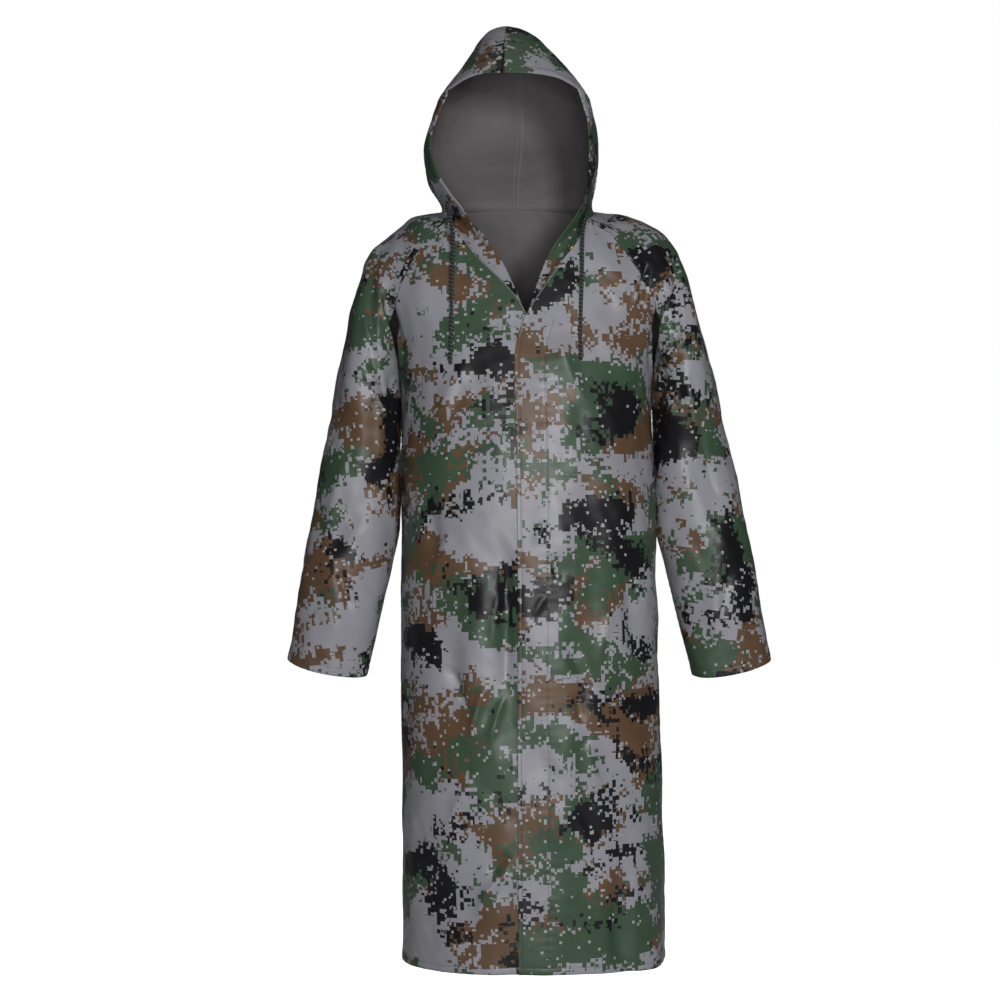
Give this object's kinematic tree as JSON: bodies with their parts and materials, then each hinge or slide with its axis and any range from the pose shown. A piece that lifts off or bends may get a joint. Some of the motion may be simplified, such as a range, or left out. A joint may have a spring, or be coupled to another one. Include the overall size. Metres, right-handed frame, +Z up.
{
  "type": "hooded raincoat",
  "caption": "Long hooded raincoat with raglan sleeves, held open as if worn, with a lapped front, turned hems and free drawcord ends at the neck.",
  "frame": {"origin": "where the coat is carried, on the coat's middle plane, level with the neck end of the shoulders", "axes": "+Z up from the hem to the hood, +Y towards the back; the front closure faces -Y and the wearer's left arm is at +X"},
  "size_m": [0.766, 0.3408, 1.486],
  "materials": {
    "coated_cloth": null,
    "braided_cord": "matt braid",
    "brass": "polished"
  },
  "bodies": {
    "root": {"back": "coated_cloth", "front_right": "coated_cloth", "front_left": "coated_cloth", "sleeve_right": "coated_cloth", "sleeve_left": "coated_cloth", "hood_right": "coated_cloth", "hood_left": "coated_cloth", "eyelet_right": "brass", "eyelet_left": "brass", "neck_snap": "brass", "cord_right": "braided_cord", "cord_left": "braided_cord"}
  },
  "joints": []
}
